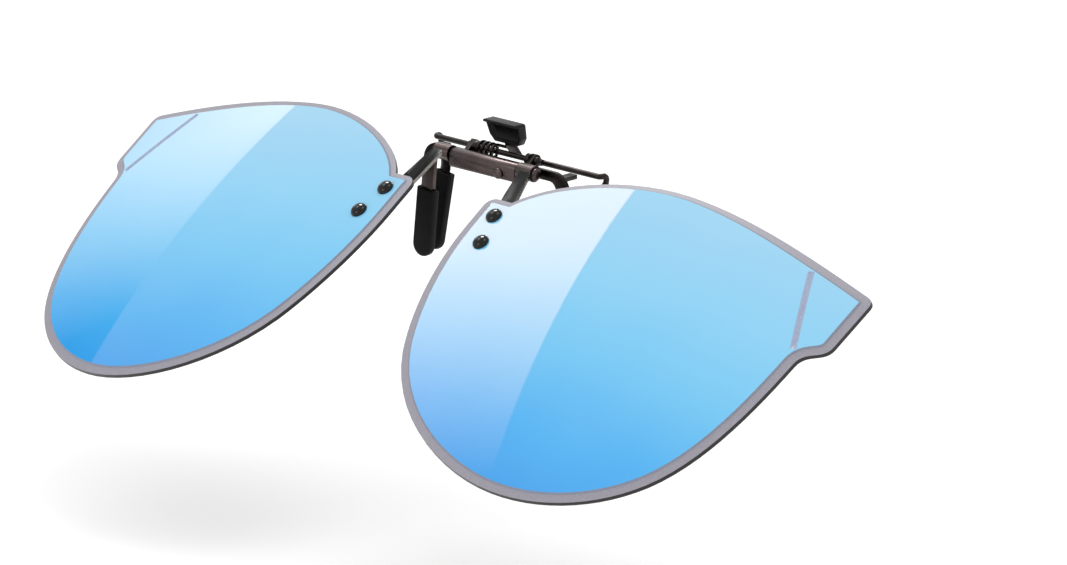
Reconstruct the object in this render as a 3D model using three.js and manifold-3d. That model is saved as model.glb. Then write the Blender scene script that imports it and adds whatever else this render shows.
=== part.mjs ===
// Flip-up clip-on sunglasses: two mirror lenses on arms that flip about a spindle, carried by a
// stamped bracket whose sprung rear jaw grips the upper edge of another lens on each side.
// Millimetres, +Z up, front towards -Y. The origin is the middle of the gripped lens, half way down
// the rubber sleeves. The lenses are shown flipped part of the way up.
import * as THREE from 'three';
import { mergeVertices } from 'three/addons/utils/BufferGeometryUtils.js';
import Module from 'manifold-3d';

const wasm = await Module();
wasm.setup();

// Grip
const gripThickness = 2; // thickness of the lens between the claws
const gripSlack = 0.1; // room left beside it at the tips
const sleeveThickness = 1.3;
const sleeveLength = 10;
const sleeveRound = 0.4; // rounding of a sleeve's edges
const frontSleeveWidth = 3.5;
const rearSleeveWidth = 3.2;
const rearSleeveRise = 1.4; // the rear sleeves reach higher up their claws
const socketGap = 0.1; // between a claw and its sleeve
const tipGap = 0.4; // below the claw's tip
const clawTipInset = 1.4; // rubber below a claw's tip
const clawSplay = THREE.MathUtils.degToRad(6.2); // the claws spread towards their tips

// Front bracket
const sheetThickness = 0.6;
const frontClawX = 13.85; // half way down the sleeves
const frontClawWidth = 2.2;
const crossbarTop = 11.9;
const crossbarHeight = 2; // at the web
const gantryHeight = 1.4; // beside the web
const gantryOuterRound = 2.6;
const gantryInnerRound = 1.2;
const barrelWall = 0.42;
const earThickness = 0.8;
const earRadius = 0.95;
const ledgeX = 12.2; // middle of the ledge folded back at each end
const ledgeWidth = 1.4;
const ledgeDepth = 2.7;
const ledgeDrop = 0.6; // below the crossbar's top

// Flip hinge
const hingeForward = 1.95; // ahead of the front claws' middle plane
const hingeRise = 1.7; // above the underside of the crossbar
const spindleRadius = 0.4;
const spindleHeadRadius = 0.85;
const headThickness = 0.45;
const bearingGap = 0.1;
const pressGap = 0.05;
const flipAngle = THREE.MathUtils.degToRad(53.5); // from hanging straight down
const flatDepth = 0.08; // flats on the spindle for the leaf
const leafLength = 3.6;
const leafThickness = 0.2;
const leafX = 3.2; // middle of the leaf and of its rivet
const rivetHoleRadius = 0.35;
const leafRivetRadius = 0.28;
const leafRivetHead = 0.8;
const leafRivetTail = 0.1; // beyond the leaf

// Rear jaw
const pivotBehind = 1.5; // jaw pin behind the front claws' middle plane
const pivotRise = 0.3; // above the crossbar
const jawPinRadius = 0.4;
const jawPinHeadRadius = 0.65;
const jawBarBehind = 4.05;
const jawBarDrop = 0.5; // top of the bar below the jaw pin's axis
const jawBarHeight = 0.85; // diameter of the wire
const jawTilt = THREE.MathUtils.degToRad(5.7); // its legs lean forwards towards their tips
const rearClawX = 15.2; // half way down the sleeves
const jawHookX = 16; // where the wire turns down
const hookSweep = 0.6; // radius of its turn back at each end of the bar
const hookRound = 0.6; // radius of its turn down
const kneeRise = 0.6; // flattened claw above the rear sleeve
const kneeReach = 1.2; // length of the curve's handles above the knee
const rearClawWidth = 2.1;
const lugThickness = 0.65;
const lugRadius = 0.9;
const tabWidth = 1.9;
const tabThickness = 0.5;
const tabInsertion = 1.6; // tab inside the lever
const tabGap = 0.15;
const tabSetBack = 0.35; // behind the lever's middle

// Jaw spring
const wireDiameter = 0.45;
const coilRadius = 0.9;
const coilPitch = 0.9;
const coilTurns = 3;
const coilStartAngle = 180; // degrees, where the front leg meets the coil
const coilEndAngle = 70; // where the rear leg leaves it
const coilSideGap = 0.17;
const wireSides = 5;
const jawWireSides = 10;
const frontLegLength = 1.4;
const rearLegLength = 2.75;

// Thumb lever
const leverGap = 0.15; // above the coil
const leverHeight = 3.3;
const leverBottomWidth = 4.8;
const leverTopWidth = 6.5;
const leverThickness = 2.1;
const leverRound = 0.7;
const leverEdgeRound = 0.3;
const leverWall = 0.6; // at the sides of the scoop
const leverLean = 0.28; // forwards per millimetre of height
const leverBehind = 1; // behind the jaw pin, at its bottom
const scoopRadius = 2.3;
const scoopDepth = 0.8;
const scoopRise = 1.15; // above the lever's bottom

// Lenses, seen from the front in the plane of the hinge axis, with the lens hanging down
const lensNoseX = 7.1;
const lensWidth = 62.2;
const lensTop = 3.1; // above the hinge axis
const lensHeight = 52;
const lensThickness = 0.9;
const lensRadius = 245; // of the curved front
const lensWrap = THREE.MathUtils.degToRad(6.6); // outer ends swept back
const borderWidth = 1.3; // cut border
const borderDepth = 0.25;
const tabDrop = 9.7; // nose tab below the lens top
const noseTabWidth = 4.1;
const noseTabRound = 1.6;
const tipDrop = 5.1; // wing tip below the lens top
const tipRound = 1.2;
const wingHeight = 8.9;
const wingStep = 3.5;
const wingStepDrop = 4.7;
const apexOut = 27.2; // foremost point of an unswept lens, from the nose edge
const apexDrop = 24.4; // and from the lens top
const wingLineTop = new THREE.Vector2(59.3, -1.6); // cut line across the wing
const wingLineBottom = new THREE.Vector2(64.6, -13.6);
const wingLineWidth = 0.9;
const wingLineDepth = 0.2;

// Lens arms and rivets
const armEyeWidth = 2.8;
const armEyeRadius = 1.15;
const armSideGap = 0.3; // beside the barrel
const armWidth = 1.9;
const armFootWidth = 2.5;
const armShoulder = 3.9; // above the upper rivet, where the foot begins
const armThickness = 0.5;
const armForward = 1; // front of the foot, ahead of the hinge axis
const seatGap = 0.2; // between the foot and the lens at the nose notch
const upperRivet = new THREE.Vector2(10.5, -9.7);
const lowerRivet = new THREE.Vector2(11.8, -14.4);
const rivetRadius = 0.6;
const rivetHeadRadius = 1.2;
const rivetDome = 0.75;
const rivetBackRadius = 1;
const rivetBackThickness = 0.35;
const rivetGap = 0.1;
const washerRadius = 1.15;

// Facets
const roundSides = 24;
const curveSteps = 8;
const legSteps = 10;
const domeSteps = 5;
const bowSteps = 4;
const mergeTolerance = 1e-4;

// Places that follow from the sizes above
const clawY = -(gripThickness + sleeveThickness) / 2;
const sleeveTop = sleeveLength / 2;
const sleeveBottom = -sleeveLength / 2;
const clawTip = sleeveBottom + clawTipInset;
const floorBottom = crossbarTop - crossbarHeight;
const floorTop = floorBottom + barrelWall;
const hingeY = clawY - hingeForward;
const hingeHeight = floorBottom + hingeRise;
const barrelRadius = spindleRadius + bearingGap + barrelWall;
const webBack = hingeY - spindleRadius - bearingGap;
const leafRivetHeight = (floorTop + hingeHeight - spindleRadius) / 2;
const pivotY = clawY + pivotBehind;
const pivotHeight = crossbarTop + pivotRise;
const jawBarY = clawY + jawBarBehind;
const jawBarTop = pivotHeight - jawBarDrop;
const jawBarBottom = jawBarTop - jawBarHeight;
const coilSweep = coilStartAngle - coilEndAngle + 360 * coilTurns;
const coilLength = (coilPitch * coilSweep) / 360;
const coilEndX = -tabWidth / 2 - coilSideGap - wireDiameter / 2;
const coilStartX = coilEndX - coilLength;
const lugStart = -coilStartX + wireDiameter / 2 + coilSideGap;
const earStart = lugStart + lugThickness + bearingGap;
const barrelHalfLength = earStart + earThickness;
const leverBottom = pivotHeight + coilRadius + wireDiameter / 2 + leverGap;
const rearTipY = gripThickness / 2 + gripSlack + sleeveThickness / 2 / Math.cos(jawTilt);
const tabTop = lensTop - tabDrop;
const tipHeight = lensTop - tipDrop;
const lensApex = new THREE.Vector2(lensNoseX + apexOut, lensTop - apexDrop);
const armFrontY = -armForward;
const armBackY = armFrontY + armThickness;
const eyeStart = barrelHalfLength + armSideGap;
const eyeEnd = eyeStart + armEyeWidth;

const finishes = {
  gunmetal: { color: 0x4a4347, roughness: 0.35, metalness: 0.9 },
  steel: { color: 0x9a9a9c, roughness: 0.25, metalness: 1 },
  blackMetal: { color: 0x1d1d20, roughness: 0.3, metalness: 0.8 },
  rubber: { color: 0x17171a, roughness: 0.75, metalness: 0 },
  blackPlastic: { color: 0x141416, roughness: 0.4, metalness: 0 },
  blueMirror: { color: 0x7cc8f2, roughness: 0.06, metalness: 0.85 },
  nylon: { color: 0xd8d8d4, roughness: 0.6, metalness: 0 },
};

// Solids

function closed(geometry) {
  const loose = geometry.index ? geometry.toNonIndexed() : geometry.clone();
  loose.deleteAttribute('normal');
  loose.deleteAttribute('uv');
  const merged = mergeVertices(loose, mergeTolerance);
  const corners = merged.index.array;
  const points = merged.attributes.position;
  const [a, b, c] = [new THREE.Vector3(), new THREE.Vector3(), new THREE.Vector3()];
  const kept = [];
  let volume = 0;
  for (let i = 0; i < corners.length; i += 3) {
    const [p, q, r] = [corners[i], corners[i + 1], corners[i + 2]];
    if (p === q || q === r || r === p) continue;
    kept.push(p, q, r);
    a.fromBufferAttribute(points, p);
    b.fromBufferAttribute(points, q);
    c.fromBufferAttribute(points, r);
    volume += a.dot(b.cross(c));
  }
  if (volume < 0) kept.reverse();
  merged.setIndex(kept);
  return merged;
}

function toManifold(geometry) {
  const mesh = closed(geometry);
  const vertProperties = new Float32Array(mesh.attributes.position.array);
  const triVerts = new Uint32Array(mesh.index.array);
  return new wasm.Manifold(new wasm.Mesh({ numProp: 3, vertProperties, triVerts }));
}

function toGeometry(manifold) {
  const mesh = manifold.getMesh();
  const geometry = new THREE.BufferGeometry();
  geometry.setAttribute('position', new THREE.BufferAttribute(mesh.vertProperties, 3));
  geometry.setIndex(new THREE.BufferAttribute(mesh.triVerts, 1));
  return geometry;
}

function joined(...pieces) {
  return toGeometry(pieces.map(toManifold).reduce((whole, piece) => whole.add(piece)));
}

function cut(body, ...tools) {
  return toGeometry(tools.map(toManifold).reduce((rest, tool) => rest.subtract(tool), toManifold(body)));
}

function mirrored(geometry) {
  return closed(geometry.clone().scale(-1, 1, 1));
}

// A plate: an outline in X and Z, with its thickness along Y
function plate(outline, thickness, middleY, bevel = 0) {
  const geometry = new THREE.ExtrudeGeometry(outline, {
    depth: thickness - 2 * bevel,
    curveSegments: curveSteps,
    bevelEnabled: bevel > 0,
    bevelThickness: bevel,
    bevelSize: bevel,
    bevelOffset: -bevel,
    bevelSegments: 3,
  });
  geometry.translate(0, 0, bevel - thickness / 2);
  geometry.rotateX(Math.PI / 2);
  return geometry.translate(0, middleY, 0);
}

// A bar: a profile in Y and Z, drawn out along X
function bar(profile, startX, endX) {
  const geometry = new THREE.ExtrudeGeometry(profile, {
    depth: endX - startX,
    curveSegments: curveSteps,
    bevelEnabled: false,
  });
  const along = new THREE.Vector3(1, 0, 0);
  const turn = new THREE.Matrix4().makeBasis(new THREE.Vector3(0, 1, 0), new THREE.Vector3(0, 0, 1), along);
  return geometry.applyMatrix4(turn).translate(startX, 0, 0);
}

function rodX(radius, startX, endX, y, z) {
  const geometry = new THREE.CylinderGeometry(radius, radius, endX - startX, roundSides);
  return geometry.rotateZ(Math.PI / 2).translate((startX + endX) / 2, y, z);
}

function rodY(radius, startY, endY, x, z) {
  const geometry = new THREE.CylinderGeometry(radius, radius, endY - startY, roundSides);
  return geometry.translate(x, (startY + endY) / 2, z);
}

function box(width, depth, height) {
  return new THREE.BoxGeometry(width, depth, height);
}

// A turned piece on the Y axis, from radius and height pairs
function turned(profile) {
  const points = profile.map(([radius, height]) => new THREE.Vector2(radius, height));
  return new THREE.LatheGeometry(points, roundSides);
}

// A dome for the end of a turned profile, from its rim to its top towards -Y
function dome(radius, rimY, height) {
  const points = [];
  for (let i = 0; i < domeSteps; i += 1) {
    const angle = (i / domeSteps) * (Math.PI / 2);
    points.push([radius * Math.cos(angle), rimY - height * Math.sin(angle)]);
  }
  return [...points, [0, rimY - height]];
}

// A skin through rings of points, closed at both ends
function lofted(rings) {
  const count = rings[0].length;
  const points = rings.flat();
  const corners = [];
  for (let ring = 0; ring + 1 < rings.length; ring += 1) {
    for (let i = 0; i < count; i += 1) {
      const here = ring * count + i;
      const next = ring * count + ((i + 1) % count);
      corners.push(here, next, here + count, next, next + count, here + count);
    }
  }
  const total = (ring) => ring.reduce((sum, point) => sum.add(point), new THREE.Vector3());
  points.push(total(rings[0]).divideScalar(count), total(rings.at(-1)).divideScalar(count));
  const last = (rings.length - 1) * count;
  for (let i = 0; i < count; i += 1) {
    const next = (i + 1) % count;
    corners.push(points.length - 2, next, i, points.length - 1, last + i, last + next);
  }
  const geometry = new THREE.BufferGeometry().setFromPoints(points);
  geometry.setIndex(corners);
  return closed(geometry);
}

// Outlines

// One edge of a crossbar with a leg at each end, from the left tip to the right tip
function gantryEdge(halfX, top, round, bottom) {
  const points = [];
  for (let i = 0; i < legSteps; i += 1) {
    points.push(new THREE.Vector2(-halfX, THREE.MathUtils.lerp(bottom, top - round, i / legSteps)));
  }
  for (let i = 0; i <= curveSteps; i += 1) {
    const angle = Math.PI - (i / curveSteps) * (Math.PI / 2);
    const corner = new THREE.Vector2(round - halfX, top - round);
    points.push(corner.add(new THREE.Vector2(Math.cos(angle), Math.sin(angle)).multiplyScalar(round)));
  }
  return [...points, ...points.toReversed().map((point) => new THREE.Vector2(-point.x, point.y))];
}

// How far out a claw's edge has spread below the bar that carries it
function splay(edge, barBottom) {
  return Math.sign(edge.x) * Math.max(barBottom - edge.y, 0) * Math.tan(clawSplay);
}

// A strip along a middle line, with its own half width at each point and a round end
function stripOutline(middle, halfWidths) {
  const left = [];
  const right = [];
  let along = new THREE.Vector2();
  middle.forEach((point, i) => {
    const before = middle[Math.max(i - 1, 0)];
    const after = middle[Math.min(i + 1, middle.length - 1)];
    along = after.clone().sub(before).normalize();
    const across = new THREE.Vector2(-along.y, along.x).multiplyScalar(halfWidths[i]);
    left.push(point.clone().add(across));
    right.unshift(point.clone().sub(across));
  });
  const end = middle.at(-1);
  const heading = along.angle();
  const quarter = Math.PI / 2;
  const outline = new THREE.Shape();
  outline.moveTo(left[0].x, left[0].y);
  outline.splineThru(left.slice(1));
  outline.absarc(end.x, end.y, halfWidths.at(-1), heading + quarter, heading - quarter, true);
  outline.splineThru(right.slice(1));
  outline.closePath();
  return outline;
}

// A plate edge with a round end about a pivot, drawn in Y and Z
function lugOutline(rootY, rootBottom, rootTop, radius) {
  const outline = new THREE.Shape();
  const side = Math.sign(pivotY - rootY);
  outline.moveTo(rootY, rootBottom);
  outline.lineTo(pivotY, pivotHeight - radius);
  outline.absarc(pivotY, pivotHeight, radius, -Math.PI / 2, Math.PI / 2, side < 0);
  outline.lineTo(rootY, rootTop);
  outline.closePath();
  return outline;
}

function lensOutline() {
  const outerX = lensNoseX + lensWidth;
  const bottom = lensTop - lensHeight;
  const x = (share) => lensNoseX + share * lensWidth;
  const z = (share) => bottom + share * lensHeight;
  const stepTop = tipHeight - wingHeight;
  const stepBottom = stepTop - wingStepDrop;
  const bodyX = outerX - wingStep;
  const outline = new THREE.Shape();
  // nose tab and the notch beside it
  outline.moveTo(lensNoseX, tabTop - noseTabRound);
  outline.quadraticCurveTo(lensNoseX, tabTop, lensNoseX + noseTabRound, tabTop);
  outline.lineTo(lensNoseX + noseTabWidth, tabTop);
  // top edge, over the crown to the wing tip
  outline.bezierCurveTo(x(0.126), z(0.911), x(0.298), lensTop, x(0.461), lensTop);
  outline.bezierCurveTo(x(0.626), lensTop, x(0.802), z(0.953), outerX - tipRound, tipHeight + tipRound * 0.2);
  outline.quadraticCurveTo(outerX, tipHeight, outerX, tipHeight - tipRound);
  // wing edge and the step back to the body of the lens
  outline.lineTo(outerX - wingStep * 0.08, stepTop);
  outline.bezierCurveTo(outerX - wingStep * 0.12, stepTop - wingStepDrop * 0.53, bodyX + wingStep * 0.05,
    stepTop - wingStepDrop * 0.43, bodyX, stepBottom);
  // outer side, bottom and nose side
  outline.bezierCurveTo(bodyX - lensWidth * 0.01, z(0.476), x(0.907), z(0.29), x(0.827), z(0.173));
  outline.bezierCurveTo(x(0.754), z(0.068), x(0.634), bottom, x(0.504), bottom);
  outline.bezierCurveTo(x(0.354), bottom, x(0.165), z(0.106), x(0.082), z(0.287));
  outline.bezierCurveTo(x(0.035), z(0.395), lensNoseX, z(0.552), lensNoseX, z(0.695));
  outline.closePath();
  return outline;
}

// Front bracket and its fittings

function frontBracket() {
  const legX = frontClawX - floorBottom * Math.tan(clawSplay);
  const outer = gantryEdge(legX + frontClawWidth / 2, crossbarTop, gantryOuterRound, clawTip);
  const gantryBottom = crossbarTop - gantryHeight;
  const inner = gantryEdge(legX - frontClawWidth / 2, gantryBottom, gantryInnerRound, clawTip);
  const edges = [...outer, ...inner.reverse()].map((edge) => (
    new THREE.Vector2(edge.x + splay(edge, floorBottom), edge.y)
  ));
  const gantry = plate(new THREE.Shape(edges), sheetThickness, clawY);
  const apron = box(2 * barrelHalfLength, sheetThickness - 2 * pressGap, crossbarHeight - gantryHeight / 2);
  apron.translate(0, clawY, (floorBottom + gantryBottom + gantryHeight / 2) / 2);
  const rightLedge = box(ledgeWidth, ledgeDepth, sheetThickness);
  rightLedge.translate(ledgeX, clawY + ledgeDepth / 2, crossbarTop - ledgeDrop - sheetThickness / 2);
  const leftLedge = mirrored(rightLedge);
  // the web folds forwards from the crossbar and rolls over the spindle
  const lip = hingeHeight - spindleRadius / 2;
  const bore = spindleRadius + bearingGap;
  const web = new THREE.Shape();
  web.moveTo(clawY, floorBottom);
  web.lineTo(hingeY - barrelRadius + barrelWall, floorBottom);
  web.absarc(hingeY - barrelRadius + barrelWall, floorTop, barrelWall, -Math.PI / 2, Math.PI, true);
  web.absarc(hingeY, hingeHeight, barrelRadius, Math.PI, 0, true);
  web.lineTo(hingeY + barrelRadius, lip);
  web.lineTo(hingeY + bore, lip);
  web.absarc(hingeY, hingeHeight, bore, 0, Math.PI, false);
  web.lineTo(webBack, floorTop);
  web.lineTo(clawY, floorTop);
  web.closePath();
  const barrel = bar(web, -barrelHalfLength, barrelHalfLength);
  const ear = lugOutline(clawY, floorTop, crossbarTop, earRadius);
  const leftEar = bar(ear, -barrelHalfLength, -earStart);
  const rightEar = bar(ear, earStart, barrelHalfLength);
  const pinHole = rodX(jawPinRadius + bearingGap, -frontClawX, frontClawX, pivotY, pivotHeight);
  const holeStart = webBack - 2 * barrelWall;
  const rivetHole = rodY(rivetHoleRadius, holeStart, webBack + barrelWall, leafX, leafRivetHeight);
  const sheet = joined(gantry, apron, rightLedge, leftLedge, barrel, leftEar, rightEar);
  return cut(sheet, pinHole, rivetHole);
}

// The leaf: a flange behind the web and a bowed tongue under the spindle
function detentLeaf() {
  const half = leafThickness / 2;
  const front = webBack + pressGap + half;
  const bottom = floorTop + pressGap + half;
  const back = clawY - sheetThickness / 2 - bearingGap - half;
  const crest = hingeHeight - spindleRadius - bearingGap - half;
  const top = leafRivetHeight + rivetHoleRadius + half;
  const peak = new THREE.Vector2(hingeY, 2 * crest - bottom);
  const ends = [new THREE.Vector2(front, bottom), new THREE.Vector2(back, bottom)];
  const bow = new THREE.QuadraticBezierCurve(ends[0], peak, ends[1]).getPoints(bowSteps);
  const tongue = bar(stripOutline(bow, bow.map(() => half)), leafX - leafLength / 2, leafX + leafLength / 2);
  const flange = box(leafLength, leafThickness, top - bottom + half);
  flange.translate(leafX, front, (top + bottom - half) / 2);
  const hole = rodY(rivetHoleRadius, front - leafThickness, front + leafThickness, leafX, leafRivetHeight);
  return cut(joined(flange, tongue), hole);
}

function detentRivet() {
  const face = hingeY - barrelRadius - pressGap;
  const end = webBack + pressGap + leafThickness + leafRivetTail;
  const shank = [[0, end], [leafRivetRadius, end], [leafRivetRadius, face]];
  const profile = [...shank, ...dome(leafRivetHead, face, headThickness)];
  return turned(profile).translate(leafX, 0, leafRivetHeight);
}

// A pin on the X axis with a head at each end, clear of the outer faces that it holds
function headedPin(radius, headRadius, halfLength, y, z) {
  const face = halfLength + bearingGap;
  const end = face + headThickness;
  const crown = headThickness / 2;
  const profile = [
    [0, -end],
    [headRadius - crown, -end],
    [headRadius, -end + crown],
    [headRadius, -face],
    [radius, -face],
    [radius, face],
    [headRadius, face],
    [headRadius, end - crown],
    [headRadius - crown, end],
    [0, end],
  ];
  return turned(profile).rotateZ(-Math.PI / 2).translate(0, y, z);
}

// A rubber sleeve with a round tip, and the socket for its claw
function sleeve(width, clawWidth, top) {
  const half = width / 2;
  const outline = new THREE.Shape();
  outline.moveTo(half, top);
  outline.lineTo(-half, top);
  outline.lineTo(-half, sleeveBottom + half);
  outline.absarc(0, sleeveBottom + half, half, Math.PI, 2 * Math.PI, false);
  outline.closePath();
  const body = plate(outline, sleeveThickness, 0, sleeveRound);
  const depth = top - clawTip + socketGap + tipGap;
  const socket = box(clawWidth + 2 * socketGap, sheetThickness + 2 * socketGap, depth);
  socket.translate(0, 0, top + socketGap - depth / 2);
  return cut(body, socket);
}

function frontSleeve() {
  const upright = sleeve(frontSleeveWidth, frontClawWidth, sleeveTop);
  return upright.rotateY(-clawSplay).translate(frontClawX, clawY, 0);
}

// Rear jaw and what rides on it

function legY(height) {
  return rearTipY + (height - sleeveBottom) * Math.tan(jawTilt);
}

// The right half of the jaw's wire: out along the bar, back round its end, down, and on into a flat claw
function jawWireLine() {
  const barZ = (jawBarTop + jawBarBottom) / 2;
  const onClaw = (height) => (
    new THREE.Vector3(rearClawX - height * Math.tan(clawSplay), legY(height), height)
  );
  const backY = jawBarY + hookSweep;
  const line = [new THREE.Vector3(0, jawBarY, barZ)];
  for (let i = 0; i <= curveSteps; i += 1) {
    const angle = (i / curveSteps) * (Math.PI / 2);
    const [out, back] = [Math.sin(angle), 1 - Math.cos(angle)];
    line.push(new THREE.Vector3(jawHookX + hookSweep * (out - 1), jawBarY + hookSweep * back, barZ));
  }
  for (let i = 1; i <= curveSteps; i += 1) {
    const angle = (i / curveSteps) * (Math.PI / 2);
    const [back, down] = [Math.sin(angle), 1 - Math.cos(angle)];
    line.push(new THREE.Vector3(jawHookX, backY + hookRound * back, barZ - hookRound * down));
  }
  const knee = sleeveTop + rearSleeveRise + kneeRise;
  const turn = line.at(-1);
  const below = turn.clone().setZ(turn.z - kneeReach);
  const curve = new THREE.CubicBezierCurve3(turn, below, onClaw(knee + kneeReach), onClaw(knee));
  return { line, curve: curve.getPoints(curveSteps).slice(1), tip: onClaw(clawTip) };
}

function jawWire() {
  const { line, curve, tip } = jawWireLine();
  const points = [...line, ...curve, tip];
  const round = jawBarHeight / 2;
  let upward = new THREE.Vector3(0, 0, 1);
  const rings = points.map((point, i) => {
    const before = points[Math.max(i - 1, 0)];
    const after = points[Math.min(i + 1, points.length - 1)];
    const along = after.clone().sub(before).normalize();
    upward = upward.clone().projectOnPlane(along).normalize();
    const across = new THREE.Vector3().crossVectors(along, upward);
    const flat = THREE.MathUtils.smoothstep(i, line.length - 1, line.length + curve.length - 1);
    const thick = THREE.MathUtils.lerp(round, sheetThickness / 2, flat);
    const wide = THREE.MathUtils.lerp(round, rearClawWidth / 2, flat);
    return Array.from({ length: jawWireSides }, (_, k) => {
      const angle = (k / jawWireSides) * 2 * Math.PI;
      const offset = upward.clone().multiplyScalar(thick * Math.cos(angle));
      return point.clone().add(offset).addScaledVector(across, wide * Math.sin(angle));
    });
  });
  const otherHalf = rings.slice(1).toReversed().map((ring) => (
    ring.map((point) => new THREE.Vector3(-point.x, point.y, point.z))
  ));
  return lofted([...otherHalf, ...rings]);
}

// The lever tab's middle line: from the bar forwards, then up along the leaning lever
function tabMiddle() {
  const onLever = (height) => (
    new THREE.Vector2(pivotY + leverBehind + tabSetBack - leverLean * height, leverBottom + height)
  );
  const root = new THREE.Vector2(jawBarY, jawBarTop - tabThickness / 2);
  return [root, onLever(-tabThickness), onLever(0), onLever(tabInsertion - tabThickness / 2)];
}

function rearJaw() {
  const lug = lugOutline(jawBarY, jawBarBottom + pressGap, jawBarTop - pressGap, lugRadius);
  const leftLug = bar(lug, -lugStart - lugThickness, -lugStart);
  const rightLug = bar(lug, lugStart, lugStart + lugThickness);
  const middle = tabMiddle();
  const tab = bar(stripOutline(middle, middle.map(() => tabThickness / 2)), -tabWidth / 2, tabWidth / 2);
  const pinHole = rodX(jawPinRadius + bearingGap, -rearClawX, rearClawX, pivotY, pivotHeight);
  return cut(joined(jawWire(), leftLug, rightLug, tab), pinHole);
}

function rearSleeve() {
  const along = new THREE.Vector3(-Math.tan(clawSplay), Math.tan(jawTilt), 1).normalize();
  const across = new THREE.Vector3(1, 0, 0).projectOnPlane(along).normalize();
  const turn = new THREE.Matrix4().makeBasis(across, new THREE.Vector3().crossVectors(along, across), along);
  const upright = sleeve(rearSleeveWidth, rearClawWidth, sleeveTop + rearSleeveRise);
  return upright.applyMatrix4(turn).translate(rearClawX, legY(0), 0);
}

function thumbLever() {
  const height = leverHeight;
  const top = leverTopWidth / 2;
  const bottom = leverBottomWidth / 2;
  const outline = new THREE.Shape();
  outline.moveTo(-bottom, 0);
  outline.lineTo(bottom, 0);
  outline.lineTo(top, height - leverRound);
  outline.quadraticCurveTo(top, height, top - leverRound, height);
  outline.lineTo(leverRound - top, height);
  outline.quadraticCurveTo(-top, height, -top, height - leverRound);
  outline.closePath();
  const body = plate(outline, leverThickness, 0, leverEdgeRound);
  const scoopY = scoopDepth - leverThickness / 2 - scoopRadius;
  // the scoop widens with the lever, inside its side walls
  const scoop = rodX(scoopRadius, -1, 1, scoopY, scoopRise);
  const points = scoop.attributes.position;
  for (let i = 0; i < points.count; i += 1) {
    const halfWidth = THREE.MathUtils.lerp(bottom, top, points.getZ(i) / height) - leverWall;
    points.setX(i, points.getX(i) * halfWidth);
  }
  const socket = box(tabWidth + 2 * tabGap, tabThickness + 2 * tabGap, 2 * (tabInsertion + tabGap));
  socket.translate(0, tabSetBack, 0);
  const shape = cut(body, scoop, socket);
  const lean = new THREE.Matrix4().makeShear(0, 0, 0, 0, 0, -leverLean);
  return shape.applyMatrix4(lean).translate(0, pivotY + leverBehind, leverBottom);
}

// The spring's middle line: up the back of the crossbar, round the pin, and back over the jaw's bar
function springLine() {
  const steps = Math.round((coilSweep / 360) * curveSteps);
  const line = [];
  for (let i = 0; i <= steps; i += 1) {
    const share = i / steps;
    const angle = THREE.MathUtils.degToRad(coilStartAngle - coilSweep * share);
    const outward = new THREE.Vector3(0, Math.cos(angle), Math.sin(angle));
    const centre = new THREE.Vector3(THREE.MathUtils.lerp(coilStartX, coilEndX, share), pivotY, pivotHeight);
    const heading = new THREE.Vector3(0, Math.sin(angle), -Math.cos(angle));
    line.push({ point: centre.addScaledVector(outward, coilRadius), outward, heading });
  }
  const first = line[0];
  const last = line.at(-1);
  const below = first.point.clone().addScaledVector(first.heading, -frontLegLength);
  const behind = last.point.clone().addScaledVector(last.heading, rearLegLength);
  return [{ ...first, point: below }, ...line, { ...last, point: behind }];
}

function jawSpring() {
  const line = springLine();
  const rings = line.map(({ point, outward, heading }) => {
    const across = new THREE.Vector3().crossVectors(heading, outward);
    return Array.from({ length: wireSides }, (_, i) => {
      const angle = (i / wireSides) * 2 * Math.PI;
      const offset = outward.clone().multiplyScalar(Math.cos(angle)).addScaledVector(across, Math.sin(angle));
      return point.clone().addScaledVector(offset, wireDiameter / 2);
    });
  });
  return lofted(rings);
}

function leastSpringGap() {
  const line = springLine();
  let least = Infinity;
  line.forEach(({ point }, i) => {
    for (let k = i + curveSteps / 2; k < line.length; k += 1) {
      least = Math.min(least, point.distanceTo(line[k].point) - wireDiameter);
    }
  });
  return least;
}

// Lenses and what carries them, about the hinge axis and hanging down

function lensRise(x, z) {
  const [dx, dz] = [x - lensApex.x, z - lensApex.y];
  return Math.tan(lensWrap) * dx + (dx * dx + dz * dz) / (2 * lensRadius);
}

// Front face of the lens: its back seats just ahead of the arm at the nose notch
function lensFrontY(x, z) {
  const notchRise = lensRise(lensNoseX + noseTabWidth, tabTop);
  return armFrontY - seatGap - lensThickness - notchRise + lensRise(x, z);
}

function lens() {
  const outline = lensOutline().getPoints(curveSteps).slice(0, -1);
  const ring = (place, sink) => outline.map((edge) => {
    const reach = edge.distanceTo(lensApex);
    const point = edge.clone().lerp(lensApex, place(reach));
    return new THREE.Vector3(point.x, lensFrontY(point.x, point.y) + sink, point.y);
  });
  const inward = [0.75, 0.5, 0.25];
  const border = (reach) => borderWidth / reach;
  const rings = [
    ...inward.map((share) => ring(() => share, 0)),
    ring(border, 0),
    ring(() => 0, borderDepth),
    ring(() => 0, lensThickness),
    ...inward.toReversed().map((share) => ring(() => share, lensThickness)),
  ];
  const holes = [upperRivet, lowerRivet].map((spot) => {
    const front = lensFrontY(spot.x, spot.y);
    return rodY(rivetRadius + rivetGap, front - lensThickness, front + 2 * lensThickness, spot.x, spot.y);
  });
  return cut(lofted(rings), ...holes, wingLine());
}

// The tool for the cut line across the wing
function wingLine() {
  const run = wingLineBottom.clone().sub(wingLineTop);
  const middle = wingLineTop.clone().lerp(wingLineBottom, 0.5);
  const line = box(wingLineWidth, lensThickness, run.length()).rotateY(Math.atan2(run.x, run.y));
  const floorY = lensFrontY(middle.x, middle.y) + wingLineDepth;
  return line.translate(middle.x, floorY - lensThickness / 2, middle.y);
}

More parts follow.
